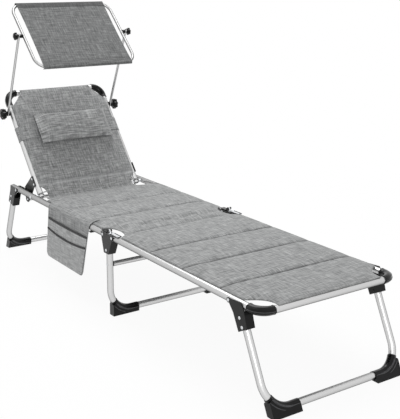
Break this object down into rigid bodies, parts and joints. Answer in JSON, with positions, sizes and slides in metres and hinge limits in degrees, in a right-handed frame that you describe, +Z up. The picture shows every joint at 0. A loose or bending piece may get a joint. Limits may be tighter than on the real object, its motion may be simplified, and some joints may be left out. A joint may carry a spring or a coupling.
{
  "type": "sun lounger with canopy",
  "caption": "Folding sun lounger: aluminium tube frame on U-shaped legs, quilted lying surface, adjustable backrest with head pillow, side pocket and tilting canopy.",
  "frame": {"origin": "on the ground under the centre of the lounger's bounding box", "axes": "+X to the side without the pocket, +Y from the foot end to the head end, +Z up"},
  "size_m": [0.5994, 2.016, 1.1377],
  "materials": {
    "aluminium_tube": "satin anodised",
    "steel_fastener": "zinc plated",
    "black_plastic": "fine grained",
    "seat_fabric": "mottled weave",
    "backrest_fabric": "mottled weave",
    "canopy_fabric": "mottled weave",
    "band_webbing": "elastic webbing"
  },
  "bodies": {
    "seat_section": {"seat_rail_left": "aluminium_tube", "seat_rail_right": "aluminium_tube", "seat_rail_cap_left": "black_plastic", "seat_rail_cap_right": "black_plastic", "seat_hinge_leaf_left": "black_plastic", "seat_hinge_leaf_right": "black_plastic", "middle_bracket_left": "black_plastic", "middle_bracket_right": "black_plastic", "rear_leg_pivot_left": "steel_fastener", "rear_leg_pivot_right": "steel_fastener", "recline_bolt_left": "steel_fastener", "recline_bolt_right": "steel_fastener", "seat_quilt": "seat_fabric", "pocket_backing": "seat_fabric", "pocket_large": "seat_fabric", "pocket_small": "seat_fabric"},
    "foot_section": {"foot_frame": "aluminium_tube", "foot_elbow_left": "black_plastic", "foot_elbow_right": "black_plastic", "foot_hinge_leaf_left": "aluminium_tube", "foot_hinge_leaf_right": "aluminium_tube", "foot_leg_pivot_left": "steel_fastener", "foot_leg_pivot_right": "steel_fastener", "foot_quilt": "seat_fabric"},
    "foot_legs": {"foot_leg": "aluminium_tube", "foot_boot_left": "black_plastic", "foot_boot_right": "black_plastic", "foot_bracket_left": "black_plastic", "foot_bracket_right": "black_plastic"},
    "middle_legs": {"middle_leg": "aluminium_tube", "middle_boot_left": "black_plastic", "middle_boot_right": "black_plastic", "middle_brace": "aluminium_tube"},
    "rear_legs": {"rear_leg": "aluminium_tube", "rear_boot_left": "black_plastic", "rear_boot_right": "black_plastic", "rear_bracket_left": "black_plastic", "rear_bracket_right": "black_plastic"},
    "backrest": {"backrest_frame": "aluminium_tube", "back_elbow_left": "black_plastic", "back_elbow_right": "black_plastic", "ratchet_plate_left": "black_plastic", "ratchet_plate_right": "black_plastic", "ratchet_tie_tube": "aluminium_tube", "back_quilt": "backrest_fabric", "pillow": "backrest_fabric", "pillow_band": "band_webbing", "arm_spacer_left": "black_plastic", "arm_spacer_right": "black_plastic"},
    "canopy_arms": {"canopy_arm_left": "aluminium_tube", "canopy_arm_right": "aluminium_tube"},
    "canopy": {"canopy_frame": "aluminium_tube", "canopy_cloth": "canopy_fabric"},
    "recline_pawl_left": {"recline_pawl_left": "black_plastic"},
    "lower_knob_left": {"lower_knob_left": "black_plastic"},
    "upper_knob_left": {"upper_knob_left": "black_plastic"},
    "recline_pawl_right": {"recline_pawl_right": "black_plastic"},
    "lower_knob_right": {"lower_knob_right": "black_plastic"},
    "upper_knob_right": {"upper_knob_right": "black_plastic"}
  },
  "joints": [
    {"name": "foot_section_fold", "type": "hinge", "parent": "seat_section", "child": "foot_section", "pos_m": [0, -0.02502, 0.345], "axis": [-1, 0, 0], "range_deg": [0, 135]},
    {"name": "foot_leg_fold", "type": "hinge", "parent": "foot_section", "child": "foot_legs", "pos_m": [0, -0.79402, 0.323], "axis": [1, 0, 0], "range_deg": [0, 112]},
    {"name": "middle_leg_fold", "type": "hinge", "parent": "seat_section", "child": "middle_legs", "pos_m": [0, -0.02402, 0.269], "axis": [1, 0, 0], "range_deg": [0, 84]},
    {"name": "rear_leg_fold", "type": "hinge", "parent": "seat_section", "child": "rear_legs", "pos_m": [0, 0.80598, 0.323], "axis": [-1, 0, 0], "range_deg": [0, 103]},
    {"name": "backrest_recline", "type": "hinge", "parent": "seat_section", "child": "backrest", "pos_m": [0, 0.65748, 0.323], "axis": [-1, 0, 0], "range_deg": [-75, 50.4]},
    {"name": "canopy_arm_swing", "type": "hinge", "parent": "backrest", "child": "canopy_arms", "pos_m": [0, 0.92775, 0.6497], "axis": [1, 0, 0], "range_deg": [-75, 25]},
    {"name": "canopy_tilt", "type": "hinge", "parent": "canopy_arms", "child": "canopy", "pos_m": [0, 0.76809, 1.00662], "axis": [1, 0, 0], "range_deg": [-40, 40]},
    {"name": "recline_pawl_lift_left", "type": "hinge", "parent": "seat_section", "child": "recline_pawl_left", "pos_m": [-0.2564, 0.84998, 0.323], "axis": [-1, 0, 0], "range_deg": [0, 20]},
    {"name": "lower_knob_turn_left", "type": "hinge", "parent": "canopy_arms", "child": "lower_knob_left", "pos_m": [-0.285, 0.92775, 0.6497], "axis": [1, 0, 0], "continuous": true},
    {"name": "upper_knob_turn_left", "type": "hinge", "parent": "canopy_arms", "child": "upper_knob_left", "pos_m": [-0.28, 0.76809, 1.00662], "axis": [1, 0, 0], "continuous": true},
    {"name": "recline_pawl_lift_right", "type": "hinge", "parent": "seat_section", "child": "recline_pawl_right", "pos_m": [0.2564, 0.84998, 0.323], "axis": [-1, 0, 0], "range_deg": [0, 20]},
    {"name": "lower_knob_turn_right", "type": "hinge", "parent": "canopy_arms", "child": "lower_knob_right", "pos_m": [0.285, 0.92775, 0.6497], "axis": [1, 0, 0], "continuous": true},
    {"name": "upper_knob_turn_right", "type": "hinge", "parent": "canopy_arms", "child": "upper_knob_right", "pos_m": [0.28, 0.76809, 1.00662], "axis": [1, 0, 0], "continuous": true}
  ]
}
